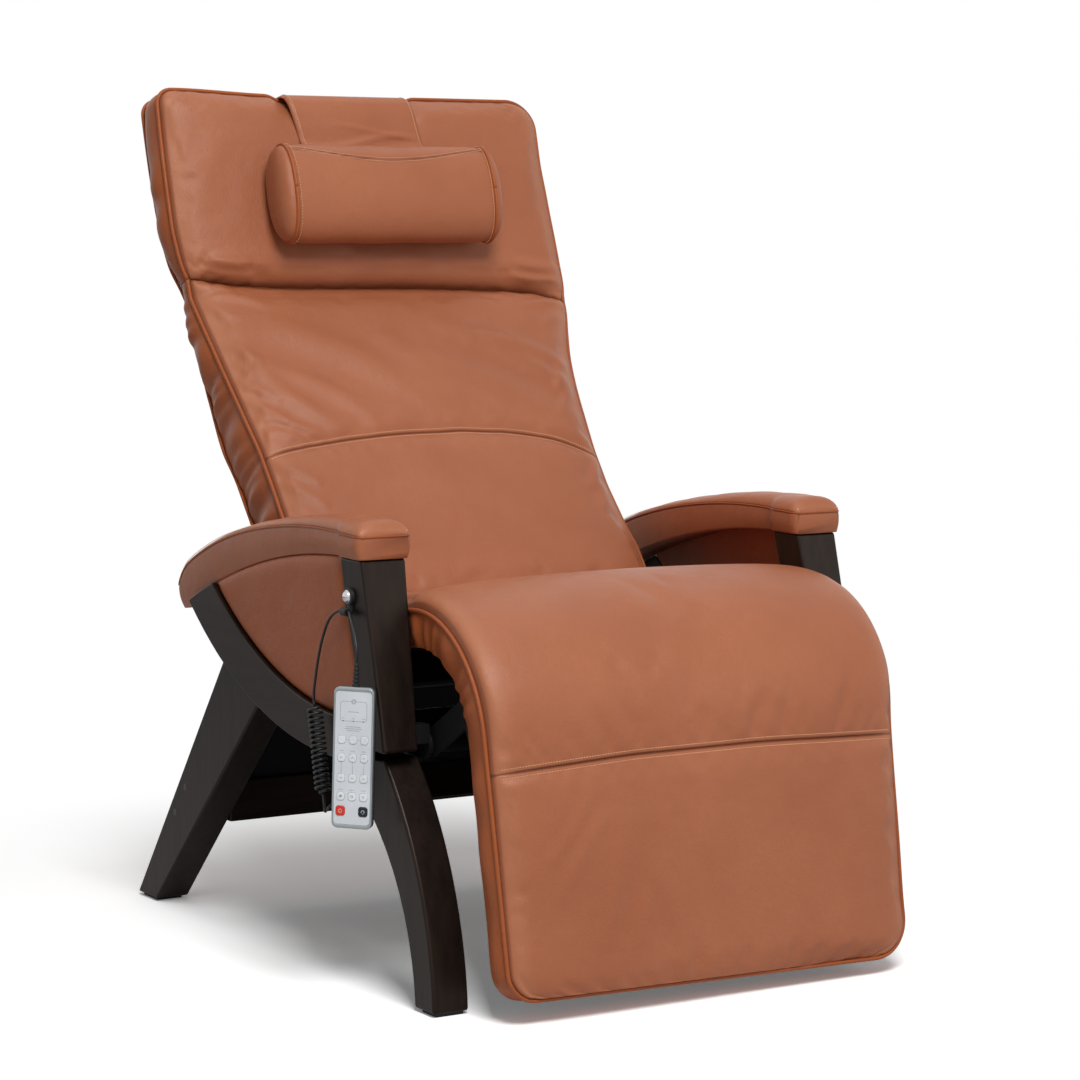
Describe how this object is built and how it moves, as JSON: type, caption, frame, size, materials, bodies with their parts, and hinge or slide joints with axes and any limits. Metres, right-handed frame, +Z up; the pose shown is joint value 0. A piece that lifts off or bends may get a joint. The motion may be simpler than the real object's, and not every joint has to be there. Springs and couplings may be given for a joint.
{
  "type": "zero-gravity massage recliner",
  "caption": "Padded reclining massage armchair on a dark wooden A-frame base, with tilting seat, reclining back, lifting legrest, flip-over head pillow and wired handset.",
  "frame": {"origin": "on the floor, on the middle plane, at mid-depth", "axes": "+Z up, the sitter faces -Y, +X to the sitter's left"},
  "size_m": [0.7886, 1.0589, 1.1573],
  "materials": {
    "wood": "satin dark espresso stain",
    "leather": "smooth semi-aniline, cognac",
    "frame_steel": "satin black powder coat",
    "drive_black": "matt",
    "carriage": "brushed",
    "plywood": "raw plywood",
    "air_cell": "coated fabric",
    "glide": "matt",
    "box_black": "fine texture",
    "rubber": "matt",
    "bolt": "polished",
    "cord_pvc": "satin",
    "handset_shell": "satin",
    "handset_silver": "satin silver",
    "handset_white": "smooth membrane",
    "key_white": "smooth",
    "key_red": "gloss",
    "key_black": "gloss"
  },
  "bodies": {
    "base": {"front_leg_left": "wood", "front_leg_right": "wood", "rear_leg_left": "wood", "rear_leg_right": "wood", "rear_beam": "wood", "front_stretcher": "wood", "leg_glides": "glide", "tilt_drive": "drive_black"},
    "tilt_carriage": {"tilt_carriage": "carriage"},
    "seat": {"seat_frame": "frame_steel", "seat_pan": "plywood", "seat_cushion": "leather", "arm_post_left": "wood", "arm_post_right": "wood", "arm_rail_left": "wood", "arm_rail_right": "wood", "side_panel_left": "leather", "side_panel_right": "leather", "arm_pad_left": "leather", "arm_pad_right": "leather", "control_box": "box_black", "air_pump": "box_black", "cord_clip": "rubber", "clip_bolt": "bolt", "back_drive": "drive_black", "leg_drive": "drive_black", "cord_upper": "cord_pvc", "cord_drop": "cord_pvc", "cord_coil": "cord_pvc", "cord_tail": "cord_pvc"},
    "back_carriage": {"back_carriage": "carriage"},
    "leg_carriage": {"leg_carriage": "carriage"},
    "back": {"back_frame": "frame_steel", "back_shell": "leather", "back_cushion": "leather", "head_cushion": "leather", "air_cells": "air_cell", "strap_tail": "leather"},
    "pillow": {"pillow": "leather", "pillow_strap": "leather"},
    "leg": {"leg_frame": "frame_steel", "leg_cushion": "leather"},
    "handset": {"handset_back": "handset_shell", "handset_bezel": "handset_silver", "handset_face": "handset_white", "cord_relief": "rubber"},
    "key_recline_up": {"key_recline_up": "key_white"},
    "key_recline_down": {"key_recline_down": "key_white"},
    "key_legs_up": {"key_legs_up": "key_white"},
    "key_legs_down": {"key_legs_down": "key_white"},
    "key_lumbar_up": {"key_lumbar_up": "key_white"},
    "key_lumbar_down": {"key_lumbar_down": "key_white"},
    "key_preset_1": {"key_preset_1": "key_white"},
    "key_preset_2": {"key_preset_2": "key_white"},
    "key_preset_3": {"key_preset_3": "key_white"},
    "key_massage": {"key_massage": "key_white"},
    "key_program": {"key_program": "key_white"},
    "key_heat": {"key_heat": "key_white"},
    "key_power": {"key_power": "key_red"},
    "key_light": {"key_light": "key_black"}
  },
  "joints": [
    {"name": "seat_tilt", "type": "hinge", "parent": "base", "child": "seat", "pos_m": [0, -0.027, 0.36], "axis": [-1, 0, 0], "range_deg": [0, 18]},
    {"name": "back_recline", "type": "hinge", "parent": "seat", "child": "back", "pos_m": [0, 0.05917, 0.45091], "axis": [-1, 0, 0], "range_deg": [0, 30]},
    {"name": "leg_lift", "type": "hinge", "parent": "seat", "child": "leg", "pos_m": [0, -0.286, 0.316], "axis": [-1, 0, 0], "range_deg": [0, 55]},
    {"name": "pillow_flip", "type": "hinge", "parent": "back", "child": "pillow", "pos_m": [0, 0.43775, 1.15501], "axis": [-1, 0, 0], "range_deg": [0, 120]},
    {"name": "tilt_drive_slide", "type": "slide", "parent": "base", "child": "tilt_carriage", "axis": [0, -1, 0], "range_m": [0, 0.022]},
    {"name": "back_drive_slide", "type": "slide", "parent": "seat", "child": "back_carriage", "axis": [0, -1, 0], "range_m": [0, 0.0495]},
    {"name": "leg_drive_slide", "type": "slide", "parent": "seat", "child": "leg_carriage", "axis": [0, 1, 0], "range_m": [0, 0.0556]},
    {"name": "handset_swing", "type": "hinge", "parent": "seat", "child": "handset", "pos_m": [-0.39064, -0.28736, 0.42745], "axis": [-0.7071, 0.7071, 0], "range_deg": [-1, 12]},
    {"name": "key_recline_up_press", "type": "slide", "parent": "handset", "child": "key_recline_up", "axis": [0.7071, 0.7071, 0], "range_m": [0, 0.0008], "stiffness_N_per_m": 250},
    {"name": "key_recline_down_press", "type": "slide", "parent": "handset", "child": "key_recline_down", "axis": [0.7071, 0.7071, 0], "range_m": [0, 0.0008], "stiffness_N_per_m": 250},
    {"name": "key_legs_up_press", "type": "slide", "parent": "handset", "child": "key_legs_up", "axis": [0.7071, 0.7071, 0], "range_m": [0, 0.0008], "stiffness_N_per_m": 250},
    {"name": "key_legs_down_press", "type": "slide", "parent": "handset", "child": "key_legs_down", "axis": [0.7071, 0.7071, 0], "range_m": [0, 0.0008], "stiffness_N_per_m": 250},
    {"name": "key_lumbar_up_press", "type": "slide", "parent": "handset", "child": "key_lumbar_up", "axis": [0.7071, 0.7071, 0], "range_m": [0, 0.0008], "stiffness_N_per_m": 250},
    {"name": "key_lumbar_down_press", "type": "slide", "parent": "handset", "child": "key_lumbar_down", "axis": [0.7071, 0.7071, 0], "range_m": [0, 0.0008], "stiffness_N_per_m": 250},
    {"name": "key_preset_1_press", "type": "slide", "parent": "handset", "child": "key_preset_1", "axis": [0.7071, 0.7071, 0], "range_m": [0, 0.0008], "stiffness_N_per_m": 250},
    {"name": "key_preset_2_press", "type": "slide", "parent": "handset", "child": "key_preset_2", "axis": [0.7071, 0.7071, 0], "range_m": [0, 0.0008], "stiffness_N_per_m": 250},
    {"name": "key_preset_3_press", "type": "slide", "parent": "handset", "child": "key_preset_3", "axis": [0.7071, 0.7071, 0], "range_m": [0, 0.0008], "stiffness_N_per_m": 250},
    {"name": "key_massage_press", "type": "slide", "parent": "handset", "child": "key_massage", "axis": [0.7071, 0.7071, 0], "range_m": [0, 0.0008], "stiffness_N_per_m": 250},
    {"name": "key_program_press", "type": "slide", "parent": "handset", "child": "key_program", "axis": [0.7071, 0.7071, 0], "range_m": [0, 0.0008], "stiffness_N_per_m": 250},
    {"name": "key_heat_press", "type": "slide", "parent": "handset", "child": "key_heat", "axis": [0.7071, 0.7071, 0], "range_m": [0, 0.0008], "stiffness_N_per_m": 250},
    {"name": "key_power_press", "type": "slide", "parent": "handset", "child": "key_power", "axis": [0.7071, 0.7071, 0], "range_m": [0, 0.0008], "stiffness_N_per_m": 250},
    {"name": "key_light_press", "type": "slide", "parent": "handset", "child": "key_light", "axis": [0.7071, 0.7071, 0], "range_m": [0, 0.0008], "stiffness_N_per_m": 250}
  ],
  "couplings": [
    {"joint": "tilt_drive_slide", "follows": "seat_tilt", "m_per_rad": 0.069712},
    {"joint": "back_drive_slide", "follows": "back_recline", "m_per_rad": 0.093919},
    {"joint": "leg_drive_slide", "follows": "leg_lift", "m_per_rad": 0.057723}
  ]
}
